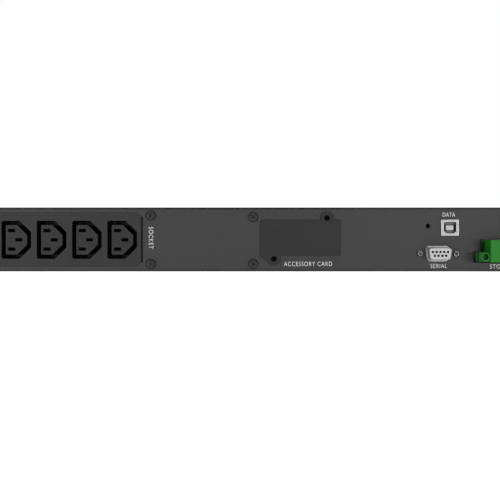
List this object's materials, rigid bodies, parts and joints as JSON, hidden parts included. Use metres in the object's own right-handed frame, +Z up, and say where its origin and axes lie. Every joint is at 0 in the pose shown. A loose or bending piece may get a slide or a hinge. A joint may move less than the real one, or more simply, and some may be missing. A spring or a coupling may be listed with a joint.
{
  "type": "rackmount ups",
  "caption": "One-unit rack-mount uninterruptible power supply: outlets, option slot and signal ports at the rear, display and sliding battery drawer at the front.",
  "frame": {"origin": "underside of the base pan, midway between the sides and midway between the two ends of the sheet-metal casing", "axes": "+Z up; -Y out of the connector panel at the rear; +Y out of the display and battery drawer at the front; +X to the right when facing the connector panel"},
  "size_m": [0.4826, 0.4895, 0.044],
  "materials": {
    "chassis_paint": "fine-textured powder coat, matte dark grey",
    "outlet_plastic": "fine spark-eroded dark grey moulding",
    "cover_paint": "smooth matte dark grey paint",
    "black_screw": "black zinc-plated steel",
    "zinc_sheet": "zinc-plated sheet",
    "nickel_shell": "satin nickel-plated steel",
    "thumbscrew_steel": "knurled nickel-plated steel",
    "circuit_board": "green solder mask over glass laminate",
    "green_terminal": "satin green moulded nylon",
    "black_plastic": "satin black moulded plastic",
    "red_plastic": "satin red moulded plastic",
    "heat_sink_aluminium": "extruded, plain",
    "ferrite": "dark sintered ferrite",
    "winding": "enamelled copper wire",
    "capacitor_sleeve": "shrunk dark blue sleeve",
    "connector_plastic": "grey moulded connector housing",
    "lead_insulation": "red wire insulation",
    "battery_case": "dark grey battery case",
    "bezel_plastic": "fine-textured black moulding",
    "display_lens": "clear window over a dark display",
    "button_plastic": "soft-touch grey buttons"
  },
  "bodies": {
    "chassis": {"base_chassis": "chassis_paint", "top_cover": "chassis_paint", "rear_panel": "chassis_paint", "outlet_bank": "outlet_plastic", "outlet_core_1": "outlet_plastic", "outlet_core_2": "outlet_plastic", "outlet_core_3": "outlet_plastic", "outlet_core_4": "outlet_plastic", "panel_screw_1": "black_screw", "panel_screw_2": "black_screw", "panel_screw_3": "black_screw", "panel_screw_4": "black_screw", "slot_cover": "cover_paint", "slot_cover_screw_1": "black_screw", "slot_cover_screw_2": "black_screw", "card_cage": "zinc_sheet", "usb_port": "nickel_shell", "serial_port": "nickel_shell", "serial_jack_nut_left": "nickel_shell", "serial_jack_nut_right": "nickel_shell", "comms_board": "circuit_board", "epo_header": "green_terminal", "ac_inlet": "black_plastic", "breaker_body": "black_plastic", "fan_frame": "black_plastic", "main_board": "circuit_board", "heat_sink_1": "heat_sink_aluminium", "heat_sink_2": "heat_sink_aluminium", "transformer_core": "ferrite", "transformer_winding": "winding", "bulk_capacitor_1": "capacitor_sleeve", "bulk_capacitor_2": "capacitor_sleeve", "output_inductor": "winding", "bay_bulkhead": "zinc_sheet", "battery_socket": "connector_plastic", "battery_lead": "lead_insulation", "control_bezel": "bezel_plastic", "lcd_lens": "display_lens", "display_board": "circuit_board", "rack_ear_left": "chassis_paint", "ear_screw_left_1": "black_screw", "ear_screw_left_2": "black_screw", "rack_ear_right": "chassis_paint", "ear_screw_right_1": "black_screw", "ear_screw_right_2": "black_screw"},
    "fan": {"fan_rotor": "black_plastic"},
    "drawer": {"battery_tray": "zinc_sheet", "battery_1": "battery_case", "battery_2": "battery_case", "battery_3": "battery_case", "battery_4": "battery_case", "battery_plug": "connector_plastic", "drawer_front": "bezel_plastic"},
    "left_thumbscrew": {"drawer_thumbscrew_left": "thumbscrew_steel"},
    "right_thumbscrew": {"drawer_thumbscrew_right": "thumbscrew_steel"},
    "reset_button": {"breaker_button": "red_plastic"},
    "terminal_plug": {"epo_plug": "green_terminal"},
    "power_key": {"power_button": "button_plastic"},
    "menu_key": {"menu_button": "button_plastic"},
    "mute_key": {"mute_button": "button_plastic"}
  },
  "joints": [
    {"name": "drawer_slide", "type": "slide", "parent": "chassis", "child": "drawer", "axis": [0, 1, 0], "range_m": [0, 0.2]},
    {"name": "fan_spin", "type": "hinge", "parent": "chassis", "child": "fan", "pos_m": [-0.196, -0.218, 0.022], "axis": [0, 1, 0], "continuous": true},
    {"name": "left_thumbscrew_turn", "type": "hinge", "parent": "drawer", "child": "left_thumbscrew", "pos_m": [-0.2115, 0.24, 0.022], "axis": [0, 1, 0], "continuous": true},
    {"name": "right_thumbscrew_turn", "type": "hinge", "parent": "drawer", "child": "right_thumbscrew", "pos_m": [0.1052, 0.24, 0.022], "axis": [0, 1, 0], "continuous": true},
    {"name": "breaker_reset", "type": "slide", "parent": "chassis", "child": "reset_button", "axis": [0, -1, 0], "range_m": [0, 0.003]},
    {"name": "terminal_pull", "type": "slide", "parent": "chassis", "child": "terminal_plug", "axis": [0, -1, 0], "range_m": [0, 0.012]},
    {"name": "power_press", "type": "slide", "parent": "chassis", "child": "power_key", "axis": [0, -1, 0], "range_m": [0, 0.0012], "stiffness_N_per_m": 400},
    {"name": "menu_press", "type": "slide", "parent": "chassis", "child": "menu_key", "axis": [0, -1, 0], "range_m": [0, 0.0012], "stiffness_N_per_m": 400},
    {"name": "mute_press", "type": "slide", "parent": "chassis", "child": "mute_key", "axis": [0, -1, 0], "range_m": [0, 0.0012], "stiffness_N_per_m": 400}
  ]
}
